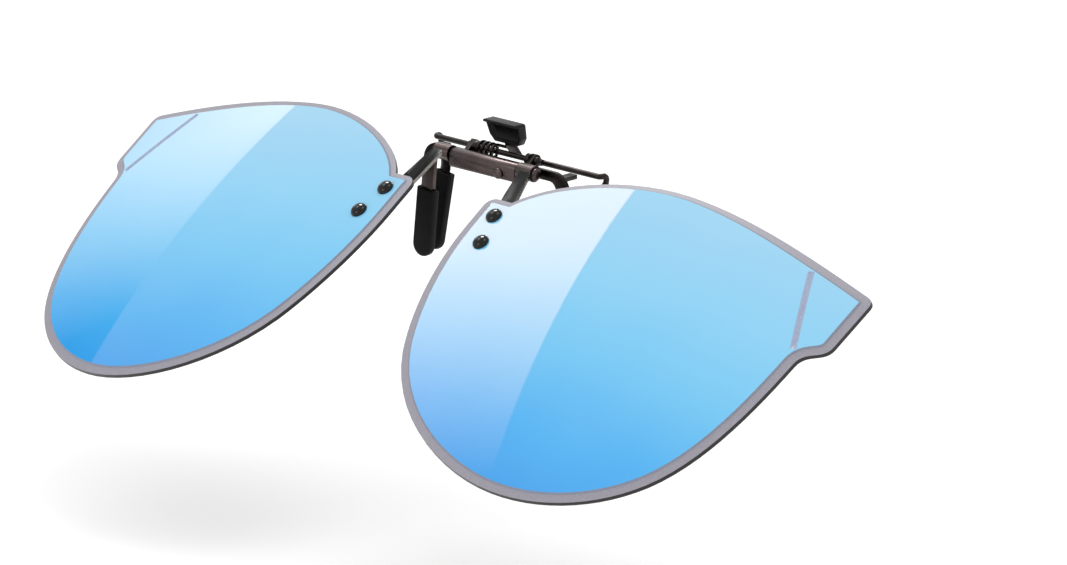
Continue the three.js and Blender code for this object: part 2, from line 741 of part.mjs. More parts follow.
function lensArm() {
  const along = lowerRivet.clone().sub(upperRivet).normalize();
  const shoulder = upperRivet.clone().addScaledVector(along, -armShoulder);
  const root = new THREE.Vector2(eyeEnd - armWidth / 2, -spindleRadius);
  const middle = [root, shoulder, upperRivet, lowerRivet];
  const halfWidths = [armWidth / 2, armFootWidth / 2, armFootWidth / 2, armFootWidth / 2];
  const strip = plate(stripOutline(middle, halfWidths), armThickness, (armFrontY + armBackY) / 2);
  const eye = rodX(armEyeRadius, eyeStart, eyeEnd, 0, 0);
  const bore = rodX(spindleRadius + pressGap, 0, lensWidth / 2, 0, 0);
  const headRoom = rodX(spindleHeadRadius + bearingGap, eyeEnd, eyeEnd + 2 * headThickness, 0, 0);
  const holes = [upperRivet, lowerRivet].map((spot) => (
    rodY(rivetRadius + rivetGap, armFrontY - armThickness, armBackY + armThickness, spot.x, spot.y)
  ));
  return cut(joined(strip, eye), bore, headRoom, ...holes);
}

function flipSpindle() {
  const pin = headedPin(spindleRadius, spindleHeadRadius, eyeEnd, 0, 0);
  const wide = 2 * spindleRadius;
  const flatLength = leafLength + 2 * bearingGap;
  const downFlat = box(flatLength, wide, wide).translate(leafX, 0, flatDepth - wide);
  const upFlat = box(flatLength, wide, wide).translate(leafX, wide - flatDepth, 0);
  return cut(pin, downFlat, upFlat);
}

// A domed rivet through the lens, its washer and the arm
function lensRivet(spot) {
  const face = lensFrontY(spot.x, spot.y) - rivetGap;
  const seat = armBackY + pressGap;
  const end = seat + rivetBackThickness;
  const tail = [[0, end], [rivetBackRadius, end], [rivetBackRadius, seat]];
  const shank = [[rivetRadius, seat], [rivetRadius, face]];
  const profile = [...tail, ...shank, ...dome(rivetHeadRadius, face, rivetDome)];
  return turned(profile).translate(spot.x, 0, spot.y);
}

function lensWasher(spot) {
  const front = lensFrontY(spot.x, spot.y) + lensThickness + rivetGap;
  const back = armFrontY - pressGap;
  const disc = rodY(washerRadius, front, back, spot.x, spot.y);
  return cut(disc, rodY(rivetRadius + rivetGap, front - lensThickness, back + armThickness, spot.x, spot.y));
}

// Assembly

const clipOn = new THREE.Group();
const lensCarrier = new THREE.Group();
lensCarrier.position.set(0, hingeY, hingeHeight);
lensCarrier.rotation.x = -flipAngle;
clipOn.add(lensCarrier);

function add(group, name, geometry, finish) {
  const mesh = new THREE.Mesh(closed(geometry), new THREE.MeshStandardMaterial(finishes[finish]));
  mesh.name = name;
  group.add(mesh);
}

function addPair(group, name, geometry, finish) {
  add(group, `${name}_right`, geometry, finish);
  add(group, `${name}_left`, mirrored(geometry), finish);
}

add(clipOn, 'front_bracket', frontBracket(), 'gunmetal');
addPair(clipOn, 'front_sleeve', frontSleeve(), 'rubber');
const jawPin = headedPin(jawPinRadius, jawPinHeadRadius, barrelHalfLength, pivotY, pivotHeight);
add(clipOn, 'jaw_pin', jawPin, 'steel');
add(clipOn, 'jaw_spring', jawSpring(), 'steel');
add(clipOn, 'detent_leaf', detentLeaf(), 'steel');
add(clipOn, 'detent_rivet', detentRivet(), 'steel');
add(clipOn, 'rear_jaw', rearJaw(), 'gunmetal');
addPair(clipOn, 'rear_sleeve', rearSleeve(), 'rubber');
add(clipOn, 'thumb_lever', thumbLever(), 'blackPlastic');
add(lensCarrier, 'flip_spindle', flipSpindle(), 'steel');
addPair(lensCarrier, 'lens_arm', lensArm(), 'blackMetal');
addPair(lensCarrier, 'lens', lens(), 'blueMirror');
for (const [place, spot] of [['upper', upperRivet], ['lower', lowerRivet]]) {
  addPair(lensCarrier, `rivet_${place}`, lensRivet(spot), 'blackMetal');
  addPair(lensCarrier, `washer_${place}`, lensWasher(spot), 'nylon');
}

console.log(`least gap of jaw_spring to itself: ${leastSpringGap().toFixed(3)} mm`);

export default clipOn;
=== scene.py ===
from math import cos, pi, radians, sin, tan

import bmesh
import bpy
from mathutils import Matrix, Vector
from mathutils.geometry import interpolate_bezier


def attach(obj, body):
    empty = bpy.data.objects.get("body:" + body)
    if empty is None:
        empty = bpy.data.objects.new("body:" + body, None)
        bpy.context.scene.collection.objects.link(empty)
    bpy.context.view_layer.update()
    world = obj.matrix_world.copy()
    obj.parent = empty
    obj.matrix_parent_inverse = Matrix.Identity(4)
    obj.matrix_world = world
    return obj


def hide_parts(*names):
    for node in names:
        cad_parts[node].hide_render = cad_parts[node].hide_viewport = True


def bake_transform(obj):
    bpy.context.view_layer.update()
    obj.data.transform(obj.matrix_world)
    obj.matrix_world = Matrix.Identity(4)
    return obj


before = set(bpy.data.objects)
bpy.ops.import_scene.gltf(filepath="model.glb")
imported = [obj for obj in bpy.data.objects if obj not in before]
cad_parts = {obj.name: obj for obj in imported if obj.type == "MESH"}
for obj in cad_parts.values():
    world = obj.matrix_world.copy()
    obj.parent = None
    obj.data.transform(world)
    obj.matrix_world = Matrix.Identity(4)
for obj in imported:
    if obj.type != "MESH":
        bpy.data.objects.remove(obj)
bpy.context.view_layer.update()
scene = bpy.context.scene
mm = 0.001
print("frame loaded, nodes:", len(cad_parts))

# the lenses are drawn hanging straight down about the hinge, then turned up to their rest
hinge = {"y": -3.6, "z": 11.6, "flip": 53.5}
flipUp = (Matrix.Translation((0, hinge["y"] * mm, hinge["z"] * mm))
          @ Matrix.Rotation(-radians(hinge["flip"]), 4, "X") @ Matrix.Scale(mm, 4))
lensUp = Vector((0, sin(radians(hinge["flip"])), cos(radians(hinge["flip"]))))
asDrawn = Matrix.Scale(mm, 4)


# finishes

class Wire:
    def __init__(self, finish, socket):
        self.finish = finish
        self.socket = socket

    def __add__(self, other):
        return self.finish.math("ADD", self, other)

    def __sub__(self, other):
        return self.finish.math("SUBTRACT", self, other)

    def __rsub__(self, other):
        return self.finish.math("SUBTRACT", other, self)

    def __mul__(self, other):
        return self.finish.math("MULTIPLY", self, other)

    __radd__ = __add__
    __rmul__ = __mul__


class Finish:
    def __init__(self, name, surface):
        self.material = bpy.data.materials.new(name)
        self.material.use_nodes = True
        self.tree = self.material.node_tree
        self.shader = self.tree.nodes["Principled BSDF"]
        for socket, value in surface.items():
            self.shader.inputs[socket].default_value = value
        self.place = self.node("ShaderNodeTexCoord", out="Object")

    def node(self, kind, settings=None, sockets=None, out=0):
        made = self.tree.nodes.new(kind)
        for name, value in (settings or {}).items():
            if name == "stops":
                ramp = made.color_ramp
                while len(ramp.elements) < len(value):
                    ramp.elements.new(1)
                for element, (position, colour) in zip(ramp.elements, value):
                    element.position = position
                    element.color = (*colour, 1)
            else:
                setattr(made, name, value)
        for name, value in (sockets or {}).items():
            if isinstance(value, Wire):
                self.tree.links.new(value.socket, made.inputs[name])
            else:
                made.inputs[name].default_value = value
        return Wire(self, made.outputs[out])

    def math(self, operation, a, b):
        return self.node("ShaderNodeMath", {"operation": operation}, {0: a, 1: b})

    def noise(self, size, detail, stretch=(1, 1, 1)):
        spread = self.node("ShaderNodeMapping", sockets={"Vector": self.place, "Scale": stretch})
        return self.node("ShaderNodeTexNoise", sockets={"Vector": spread, "Scale": 1 / (size * mm), "Detail": detail})

    def blendColours(self, share, first, second):
        return self.node("ShaderNodeMix", {"data_type": "RGBA"}, {0: share, 6: first, 7: second}, out=2)

    def shades(self, share, dark, pale):
        return self.blendColours(share, (*linear(*dark), 1), (*linear(*pale), 1))

    def ramp(self, axis, start, end, least=0.0):
        along = self.node("ShaderNodeSeparateXYZ", sockets={0: self.place}, out=axis)
        return self.node("ShaderNodeMapRange", sockets={0: along, 1: start, 2: end, 3: least, 4: 1.0})

    def feed(self, socket, wire):
        self.tree.links.new(wire.socket, self.shader.inputs[socket])

    def relief(self, height, depth, strength):
        bump = self.node("ShaderNodeBump", sockets={"Height": height, "Distance": depth * mm, "Strength": strength})
        self.feed("Normal", bump)


def linear(red, green, blue):
    shares = (red / 255, green / 255, blue / 255)
    return tuple(c / 12.92 if c <= 0.04045 else ((c + 0.055) / 1.055) ** 2.4 for c in shares)


mirrorLook = {
    "top": 3.1, "bottom": -48.9,  # ends of the painted reflection, a colour fade paler towards the top, from the hinge down the lens
    "fade": [(0.0, (12, 152, 228)), (0.2, (48, 170, 234)), (0.44, (94, 190, 236)), (0.67, (123, 200, 237)),
             (0.86, (136, 202, 236)), (1.0, (147, 206, 236))],
    "tint": (1, 0.44, 0.1, 1), "smear": 14, "drift": 0.1, "haze": 3, "rough": (0.02, 0.012),
}


def makeMirror():
    look = mirrorLook
    finish = Finish("blueMirror", {"Specular IOR Level": 1.0, "Specular Tint": look["tint"]})
    along = finish.node("ShaderNodeVectorMath", {"operation": "DOT_PRODUCT"}, {0: finish.place, 1: lensUp}, out="Value")
    low = look["bottom"] * mm + lensUp.dot(Vector((0, hinge["y"], hinge["z"]))) * mm
    share = (along - low) * (1 / ((look["top"] - look["bottom"]) * mm))
    drift = (finish.noise(look["smear"], 2) - 0.5) * look["drift"]
    stops = [(position, linear(*colour)) for position, colour in look["fade"]]
    # painted reflection: the base colour runs from deep blue at the bottom to pale blue at the top, in place of the sky
    # the lens mirrors
    finish.feed("Base Color", finish.node("ShaderNodeValToRGB", {"stops": stops}, {"Fac": share + drift}))
    spread, least = look["rough"]
    finish.feed("Roughness", finish.noise(look["haze"], 4) * spread + least)
    return finish.material


# each of these follows one noise: its size and detail, two shades, the roughness's spread and least value,
# the shine, and for some a relief's depth and strength
mottledLooks = {
    "cutBorder": {"noise": (0.25, 4), "shades": ((122, 119, 129), (156, 153, 164)), "rough": (0.25, 0.3),
                  "shine": 0.4, "relief": (0.01, 0.4)},
    # cutShade colours the step from the border down to the mirror: painted shade, darker than the border, with a bluer
    # tint between the two
    "cutShade": {"noise": (0.3, 3), "shades": ((112, 117, 132), (138, 144, 160)), "rough": (0.2, 0.35), "shine": 0.4},
    "cutGroove": {"noise": (0.3, 3), "shades": ((126, 138, 166), (158, 170, 196)), "rough": (0.2, 0.3), "shine": 0.4},
    "lensEdge": {"noise": (0.4, 3), "shades": ((22, 21, 22), (46, 44, 45)), "rough": (0.2, 0.25), "shine": 0.3},
    "blackEnamel": {"noise": (0.5, 2), "shades": ((6, 6, 6), (14, 13, 12)), "rough": (0.15, 0.14), "shine": 0.22,
                    "relief": (0.006, 0.3)},
    "rivetBlack": {"noise": (0.4, 2), "shades": ((3, 3, 3), (9, 9, 9)), "rough": (0.05, 0.04), "shine": 0.3},
    "leverBlack": {"noise": (0.12, 4), "shades": ((8, 8, 9), (17, 17, 18)), "rough": (0.2, 0.28), "shine": 0.16,
                   "relief": (0.012, 0.4)},
    "nylonWasher": {"noise": (0.6, 3), "shades": ((196, 192, 184), (222, 219, 212)), "rough": (0.2, 0.4),
                    "shine": 0.4},
}


def makeMottled(name):
    look = mottledLooks[name]
    finish = Finish(name, {"Specular IOR Level": look["shine"]})
    grain = finish.noise(*look["noise"])
    spread, least = look["rough"]
    finish.feed("Base Color", finish.shades(grain, *look["shades"]))
    finish.feed("Roughness", grain * spread + least)
    if "relief" in look:
        finish.relief(grain, *look["relief"])
    return finish.material


smokeLook = {"shades": ((28, 28, 30), (40, 40, 43)), "cloud": 9, "wear": 2, "rough": (0.06, 0.07), "coat": 0.3}


def makeSmoke():
    look = smokeLook
    finish = Finish("smokeLens", {"Coat Weight": look["coat"]})
    spread, least = look["rough"]
    finish.feed("Base Color", finish.shades(finish.noise(look["cloud"], 2), *look["shades"]))
    finish.feed("Roughness", finish.noise(look["wear"], 4) * spread + least)
    return finish.material


rubberLook = {"shades": ((12, 12, 13), (26, 25, 27)), "pebble": 0.16, "bloom": 2.2, "pebbleShare": 0.4,
              "rough": (0.2, 0.5), "shine": 0.14, "relief": (0.02, 0.5)}


def makeRubber():
    look = rubberLook
    finish = Finish("blackRubber", {"Specular IOR Level": look["shine"]})
    pebble = finish.noise(look["pebble"], 4)
    shade = pebble * look["pebbleShare"] + finish.noise(look["bloom"], 3) * (1 - look["pebbleShare"])
    spread, least = look["rough"]
    finish.feed("Base Color", finish.shades(shade, *look["shades"]))
    finish.feed("Roughness", pebble * spread + least)
    finish.relief(pebble, *look["relief"])
    return finish.material


metalLooks = {
    "gunmetal": {"shades": ((46, 40, 39), (100, 89, 87)), "patch": 2.6, "brush": 0.12},
    "blackSteel": {"shades": ((22, 20, 20), (66, 61, 60)), "patch": 1.6, "brush": 0.15},
}
brushLook = {"patchShare": 0.7, "stretch": (1, 0.12, 1), "rough": (0.22, 0.2), "relief": (0.012, 0.5)}


def brushedMetal(name):
    look, brushed = metalLooks[name], brushLook
    finish = Finish(name, {"Metallic": 1.0})
    brush = finish.noise(look["brush"], 3, brushed["stretch"])
    shade = finish.noise(look["patch"], 3) * brushed["patchShare"] + brush * (1 - brushed["patchShare"])
    spread, least = brushed["rough"]
    finish.feed("Roughness", brush * spread + least)
    finish.relief(brush, *brushed["relief"])
    return finish, finish.shades(shade, *look["shades"])


def makeMetal(name):
    finish, tone = brushedMetal(name)
    finish.feed("Base Color", tone)
    return finish.material


# painted shade: the bracket is darkened behind the barrel and above the claws
bracketLook = {"behind": (-3.2, -2.2), "above": (6.5, 10.0), "paintedShade": (20, 19, 19), "most": 0.8}


def makeBracketMetal():
    look = bracketLook
    finish, tone = brushedMetal("gunmetal")
    behind = finish.ramp("Y", *(end * mm for end in look["behind"]))
    above = finish.ramp("Z", *(end * mm for end in look["above"]))
    # blends the brushed tone towards the painted shade colour where both ramps rise
    finish.feed("Base Color", finish.blendColours(behind * above * look["most"], tone, (*linear(*look["paintedShade"]), 1)))
    return finish.material


steelLook = {"shades": ((112, 109, 106), (172, 168, 163)), "draw": 0.2, "stretch": (0.2, 1, 1), "rough": (0.2, 0.18)}


def makeSteel():
    look = steelLook
    finish = Finish("brightSteel", {"Metallic": 1.0})
    draw = finish.noise(look["draw"], 3, look["stretch"])
    spread, least = look["rough"]
    finish.feed("Base Color", finish.shades(draw, *look["shades"]))
    finish.feed("Roughness", draw * spread + least)
    return finish.material


finishes = {
    "mirror": makeMirror(), "border": makeMottled("cutBorder"), "shade": makeMottled("cutShade"),
    "groove": makeMottled("cutGroove"), "edge": makeMottled("lensEdge"), "smoke": makeSmoke(),
    "gunmetal": makeMetal("gunmetal"), "blackSteel": makeMetal("blackSteel"), "bracket": makeBracketMetal(),
    "steel": makeSteel(), "enamel": makeMottled("blackEnamel"), "rivetBlack": makeMottled("rivetBlack"),
    "rubber": makeRubber(), "lever": makeMottled("leverBlack"), "nylon": makeMottled("nylonWasher"),
}
print("finishes made:", len(finishes))


# shared steps for every piece

def finishPiece(name, bm, place, used, body, node, crease=30):
    bmesh.ops.transform(bm, matrix=place, verts=bm.verts)
    bm.verts.index_update()
    order = sorted(bm.faces, key=lambda face: [vert.index for vert in face.verts])
    rank = {face: index for index, face in enumerate(order)}
    bm.faces.sort(key=rank.get)  # so that every run gives the same order
    mesh = bpy.data.meshes.new(name)
    for face in bm.faces:
        face.smooth = True
    bm.to_mesh(mesh)
    bm.free()
    mesh.set_sharp_from_angle(angle=radians(crease))
    for finish in used:
        mesh.materials.append(finishes[finish])
    piece = bpy.data.objects.new(name, mesh)
    scene.collection.objects.link(piece)
    if body:
        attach(piece, body)
    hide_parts(node)
    return piece


def otherSide(bm):
    mirrored = bm.copy()
    bmesh.ops.scale(mirrored, vec=(-1, 1, 1), verts=mirrored.verts)
    bmesh.ops.reverse_faces(mirrored, faces=mirrored.faces)
    return mirrored


# merging and cutting distances in mm, the degrees that count as flat, and the cosine that counts as facing
meshCare = {"seam": 0.002, "pole": 0.001, "speck": 0.0005, "cut": 0.0001, "touch": 0.01, "flat": 1, "facing": 0.9}


def roundEdges(bm, edges, offset, segments):
    bmesh.ops.bevel(bm, geom=edges, offset=offset, offset_type="OFFSET", segments=segments, profile=0.5,
                    affect="EDGES", material=-1, clamp_overlap=True)
    bm.normal_update()


def softened(node, look):
    bm = bmesh.new()
    bm.from_mesh(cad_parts[node].data)
    bmesh.ops.remove_doubles(bm, verts=bm.verts, dist=meshCare["seam"] * mm)
    bmesh.ops.dissolve_limit(bm, angle_limit=radians(meshCare["flat"]), verts=bm.verts, edges=bm.edges)
    corners = [e for e in bm.edges if e.is_manifold and e.calc_face_angle() > radians(look["corner"])]
    roundEdges(bm, corners, look["edge"] * mm, look["segments"])
    bmesh.ops.remove_doubles(bm, verts=bm.verts, dist=meshCare["speck"] * mm)
    return bm


def turned(profile, steps):
    bm = bmesh.new()
    points = [bm.verts.new((x, radius, 0)) for x, radius in profile]
    for a, b in zip(points, points[1:]):
        bm.edges.new((a, b))
    bmesh.ops.spin(bm, geom=bm.verts[:] + bm.edges[:], cent=(0, 0, 0), axis=(1, 0, 0), angle=2 * pi, steps=steps,
                   use_merge=True)
    bmesh.ops.remove_doubles(bm, verts=bm.verts, dist=meshCare["pole"])
    bmesh.ops.recalc_face_normals(bm, faces=bm.faces)
    return bm


# lenses

lensShape = {
    "nose": 7.1, "width": 62.2, "top": 3.1, "height": 52.0, "thickness": 0.9,
    "radius": 245.0, "wrap": 6.6, "apex": (34.3, -21.3), "seat": -2.1, "notch": (11.2, -6.6),
    "tabTop": -6.6, "tabWidth": 4.1, "tabRound": 1.6,
    "tip": -2.0, "tipRound": 1.2, "wingHeight": 8.9, "wingStep": 3.5, "wingDrop": 4.7,
    "land": 1.15, "wall": 0.22, "landDepth": 0.2, "edgeDepth": 0.25,  # the cut border
    "crown": 0.36, "crownEnd": (36.0, 57.0),  # its narrowing along the top
    "line": ((59.3, -1.6), (64.6, -13.6)), "lineHalf": 0.45, "lineDepth": 0.16,  # cut line on the wing
    "lineMargin": (2.5, 1.5), "tipReach": (3.6, 4.0), "tipMerge": 0.6,
    "sideLean": 0.5, "edgeRound": 0.07, "edgeSteps": 2, "edgeCorner": 55,
    "grid": 2.6, "curveSteps": 14, "closest": 0.02,
}
lensParts = ["mirror", "border", "shade", "groove", "edge", "smoke"]
mirrorPart, borderPart, shadePart, groovePart, edgePart, smokePart = range(len(lensParts))


def lensOutline():
    s = lensShape
    outer, bottom = s["nose"] + s["width"], s["top"] - s["height"]
    x = lambda share: s["nose"] + share * s["width"]
    z = lambda share: bottom + share * s["height"]
    stepTop = s["tip"] - s["wingHeight"]
    stepBottom = stepTop - s["wingDrop"]
    body = outer - s["wingStep"]
    tab = s["tabTop"]
    corner = s["tabRound"] * 0.45
    tipIn = s["tipRound"] * 0.33
    spans = [
        ((s["nose"], tab - s["tabRound"]), (s["nose"], tab - corner), (s["nose"] + corner, tab),
         (s["nose"] + s["tabRound"], tab)),
        ((s["nose"] + s["tabWidth"], tab), (x(0.126), z(0.911)), (x(0.298), s["top"]), (x(0.461), s["top"])),
        ((x(0.461), s["top"]), (x(0.626), s["top"]), (x(0.802), z(0.953)),
         (outer - s["tipRound"], s["tip"] + s["tipRound"] * 0.2)),
        ((outer - s["tipRound"], s["tip"] + s["tipRound"] * 0.2), (outer - tipIn, s["tip"] + 0.1),
         (outer, s["tip"] - tipIn), (outer, s["tip"] - s["tipRound"])),
        ((outer - s["wingStep"] * 0.08, stepTop), (outer - s["wingStep"] * 0.12, stepTop - s["wingDrop"] * 0.53),
         (body + s["wingStep"] * 0.05, stepTop - s["wingDrop"] * 0.43), (body, stepBottom)),
        ((body, stepBottom), (body - s["width"] * 0.01, z(0.476)), (x(0.907), z(0.29)), (x(0.827), z(0.173))),
        ((x(0.827), z(0.173)), (x(0.754), z(0.068)), (x(0.634), bottom), (x(0.504), bottom)),
        ((x(0.504), bottom), (x(0.354), bottom), (x(0.165), z(0.106)), (x(0.082), z(0.287))),
        ((x(0.082), z(0.287)), (x(0.035), z(0.395)), (s["nose"], z(0.552)), (s["nose"], z(0.695))),
    ]
    points = []
    for start, leave, arrive, end in spans:
        for point in interpolate_bezier(Vector(start), Vector(leave), Vector(arrive), Vector(end), s["curveSteps"]):
            if not points or (point - points[-1]).length > s["closest"]:
                points.append(point)
    return points


def lensRise(x, z):
    s = lensShape
    dx, dz = x - s["apex"][0], z - s["apex"][1]
    return tan(radians(s["wrap"])) * dx + (dx * dx + dz * dz) / (2 * s["radius"])


def lensFront(x, z):
    return lensShape["seat"] - lensRise(*lensShape["notch"]) + lensRise(x, z)


# the mirror shows every unevenness, so the curve's own directions shade the front and back
def polishLens(piece, side):
    s = lensShape
    home, turnUp = flipUp.inverted(), flipUp.to_3x3().normalized()
    directions = []
    for face in piece.data.polygons:
        sense = {mirrorPart: 1, smokePart: -1}.get(face.material_index, 0)
        for index in face.vertices:
            at = home @ piece.data.vertices[index].co
            slopeX = tan(radians(s["wrap"])) + (side * at.x - s["apex"][0]) / s["radius"]
            slopeZ = (at.z - s["apex"][1]) / s["radius"]
            directions.append(turnUp @ Vector((side * slopeX, -1, slopeZ)).normalized() * sense)
    piece.data.normals_split_custom_set(directions)


def sliceFaces(bm, faces, spot, across):
    geom = {part for face in faces for part in (face, *face.edges, *face.verts)}
    bmesh.ops.bisect_plane(bm, geom=list(geom), dist=meshCare["cut"], plane_co=spot, plane_no=across)


def makeLens():
    s = lensShape
    bm = bmesh.new()
    face = bm.faces.new([bm.verts.new((p.x, 0, p.y)) for p in lensOutline()])
    bm.normal_update()
    face.material_index = borderPart
    bmesh.ops.inset_region(bm, faces=[face], thickness=s["land"], use_even_offset=True, use_boundary=True)
    tipX, tipZ = s["nose"] + s["width"] - s["tipReach"][0], s["tip"] - s["tipReach"][1]
    bmesh.ops.remove_doubles(bm, verts=[v for v in face.verts if v.co.x > tipX and v.co.z > tipZ], dist=s["tipMerge"])
    face = max(bm.faces, key=lambda f: f.calc_area())
    near, far = s["crownEnd"]
    for vert in face.verts:
        edge = next((e.other_vert(vert) for e in vert.link_edges if e.other_vert(vert).is_boundary), None)
        if edge:
            rise = min(1, max(0, 1 + (edge.co.z - s["tabTop"]) / s["tabRound"]))
            fade = min(1, max(0, (far - edge.co.x) / (far - near)))
            vert.co = vert.co.lerp(edge.co, s["crown"] * rise * fade)
    face.material_index = shadePart
    bmesh.ops.inset_region(bm, faces=[face], thickness=s["wall"], use_even_offset=True, use_boundary=True)
    face.material_index = mirrorPart
    around = lambda part: {v for f in bm.faces if f.material_index == part for v in f.verts}
    sink = dict.fromkeys(around(borderPart), s["edgeDepth"])
    sink.update(dict.fromkeys(around(shadePart), s["landDepth"]))
    sink.update(dict.fromkeys(around(mirrorPart), 0))
    front = lambda: [f for f in bm.faces if f.material_index == mirrorPart]
    for step in range(1, int(s["width"] / s["grid"]) + 1):  # a grid, so that the front can be bent
        sliceFaces(bm, front(), (s["nose"] + step * s["grid"], 0, 0), (1, 0, 0))
    for step in range(1, int(s["height"] / s["grid"]) + 1):
        sliceFaces(bm, front(), (0, 0, s["top"] - step * s["grid"]), (0, 0, 1))
    start, end = (Vector((p[0], 0, p[1])) for p in s["line"])
    length = (end - start).length
    along = (end - start).normalized()
    across = along.cross(Vector((0, 1, 0)))
    reach = lambda p: ((p - start).dot(across), (p - start).dot(along))
    beside, beyond = s["lineMargin"]
    byLine = lambda: [f for f in front() if abs(reach(f.calc_center_median())[0]) < beside
                      and -beyond < reach(f.calc_center_median())[1] < length + beyond]
    for offset in (-s["lineHalf"], 0, s["lineHalf"]):
        sliceFaces(bm, byLine(), start + across * offset, across)
    for spot in (start, end):
        sliceFaces(bm, byLine(), spot, along)
    touch = meshCare["touch"]
    for f in front():
        side, run = reach(f.calc_center_median())
        if abs(side) < s["lineHalf"] and 0 < run < length:
            f.material_index = groovePart
            sink.update({v: s["lineDepth"] for v in f.verts if abs(reach(v.co)[0]) < touch
                         and touch < reach(v.co)[1] < length - touch})
    for vert in bm.verts:
        vert.co.y = lensFront(vert.co.x, vert.co.z) + sink.get(vert, 0)
    made = bmesh.ops.extrude_face_region(bm, geom=bm.faces[:], use_keep_orig=True)["geom"]
    for part in made:
        if isinstance(part, bmesh.types.BMVert):
            part.co.y = lensFront(part.co.x, part.co.z) + s["thickness"]
        if isinstance(part, bmesh.types.BMFace):
            part.material_index = smokePart
    bmesh.ops.recalc_face_normals(bm, faces=bm.faces)
    for f in bm.faces:
        if abs(f.normal.y) < s["sideLean"] and f.material_index in (mirrorPart, borderPart, smokePart):
            f.material_index = edgePart
    edges = [e for e in bm.edges if e.is_manifold and e.calc_face_angle() > radians(s["edgeCorner"])
             and any(f.material_index == edgePart for f in e.link_faces)]
    roundEdges(bm, edges, s["edgeRound"], s["edgeSteps"])
    return bm


rightLens = makeLens()
leftLens = otherSide(rightLens)
polishLens(finishPiece("lensLeft", leftLens, flipUp, lensParts, "lens_carrier", "lens_left", crease=8), -1)
polishLens(finishPiece("lensRight", rightLens, flipUp, lensParts, "lens_carrier", "lens_right", crease=8), 1)
print("lenses made")


# lens rivets

rivetShape = {
    "spots": {"upper": (10.5, -9.7), "lower": (11.8, -14.4)},
    "head": 1.2, "dome": 0.72, "shank": 0.6, "gap": 0.06, "back": 1.0, "backSeat": -0.45, "backThick": 0.35,
    "backEdge": (0.12, 0.14), "domeSteps": 10, "sides": 40,
}


def makeRivet(spot):
    s = rivetShape
    seat = lensFront(*spot) - s["gap"]
    angles = [pi / 2 * step / s["domeSteps"] for step in range(s["domeSteps"] - 1, -1, -1)]
    arc = [(seat - s["dome"] * sin(a), s["head"] * cos(a)) for a in angles]
    end = s["backSeat"] + s["backThick"]
    along, inwards = s["backEdge"]
    tail = [(seat, s["shank"]), (s["backSeat"], s["shank"]), (s["backSeat"], s["back"]),
            (end - along, s["back"]), (end, s["back"] - inwards), (end, 0)]
    bm = turned([(seat - s["dome"], 0), *arc, *tail], s["sides"])
    bmesh.ops.rotate(bm, cent=(0, 0, 0), matrix=Matrix.Rotation(pi / 2, 3, "Z"), verts=bm.verts)
    bmesh.ops.translate(bm, vec=(spot[0], 0, spot[1]), verts=bm.verts)
    return bm


for place, spot in rivetShape["spots"].items():
    rivet = makeRivet(spot)
    finishPiece(f"{place}RivetLeft", otherSide(rivet), flipUp, ["rivetBlack"], "lens_carrier",
                f"rivet_{place}_left", crease=40)
    finishPiece(f"{place}RivetRight", rivet, flipUp, ["rivetBlack"], "lens_carrier",
                f"rivet_{place}_right", crease=40)
print("rivets made")


# pins on the two hinge axes

pinShape = {
    "flip": {"half": 9.465, "radius": 0.4, "head": 0.85}, "jaw": {"half": 6.365, "radius": 0.4, "head": 0.65},
    "thick": 0.45, "jawAxis": (0, -0.15, 12.2), "sides": 36,
    "crown": ((1, 0.36), (0.86, 0.17), (0.55, 0.03), (0.3, 0)),  # share of the thickness, and how far in
    "rim": (0.04, 0.05),
}


def makePin(pin):
    half, head, thick = pin["half"], pin["head"], pinShape["thick"]
    crown = [(half + thick * share, head - inwards) for share, inwards in pinShape["crown"]]
    along, inwards = pinShape["rim"]
    side = [(half + thick, 0), *crown, (half + along, head), (half, head - inwards), (half, pin["radius"])]
    return turned([*side, *((-x, radius) for x, radius in reversed(side))], pinShape["sides"])


finishPiece("flipSpindle", makePin(pinShape["flip"]), flipUp, ["gunmetal"], "lens_carrier", "flip_spindle")
finishPiece("jawPin", makePin(pinShape["jaw"]), asDrawn @ Matrix.Translation(pinShape["jawAxis"]), ["blackSteel"],
            "clip_base", "jaw_pin")
print("pins made")


# jaw spring

springShape = {
    "wire": 0.225, "coil": 0.9, "axis": (-0.15, 12.2), "start": -4.32, "length": 2.975, "sweep": 1190,
    "frontLeg": 1.4, "rearLeg": 2.75, "sides": 12, "steps": 110,
}


def makeSpring():
    s = springShape
    y, z = s["axis"]
    bm = bmesh.new()
    bmesh.ops.create_circle(bm, segments=s["sides"], radius=s["wire"],
                            matrix=Matrix.Translation((s["start"], y - s["coil"], z - s["frontLeg"])))
    leg = bmesh.ops.extrude_edge_only(bm, edges=bm.edges[:])["geom"]
    leg = [p for p in leg if not isinstance(p, bmesh.types.BMFace)]
    leg = [p for p in leg if isinstance(p, bmesh.types.BMVert) or p.is_boundary]
    bmesh.ops.translate(bm, vec=(0, 0, s["frontLeg"]), verts=[p for p in leg if isinstance(p, bmesh.types.BMVert)])
    coil = bmesh.ops.spin(bm, geom=leg, cent=(s["start"], y, z), axis=(-1, 0, 0),
                          dvec=(s["length"] / s["steps"], 0, 0), angle=radians(s["sweep"]), steps=s["steps"])
    end = [p for p in coil["geom_last"] if isinstance(p, bmesh.types.BMEdge)]
    tail = bmesh.ops.extrude_edge_only(bm, edges=end)["geom"]
    leave = radians(180 - s["sweep"])
    bmesh.ops.translate(bm, vec=Vector((0, sin(leave), -cos(leave))) * s["rearLeg"],
                        verts=[p for p in tail if isinstance(p, bmesh.types.BMVert)])
    bmesh.ops.holes_fill(bm, edges=[e for e in bm.edges if e.is_boundary], sides=0)
    bmesh.ops.recalc_face_normals(bm, faces=bm.faces)
    print("spring open edges:", sum(not e.is_manifold for e in bm.edges))
    return bm


spring = finishPiece("jawSpring", makeSpring(), asDrawn, ["blackSteel"], None, "jaw_spring", crease=50)
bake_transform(spring)
print("spring made")


# thumb lever

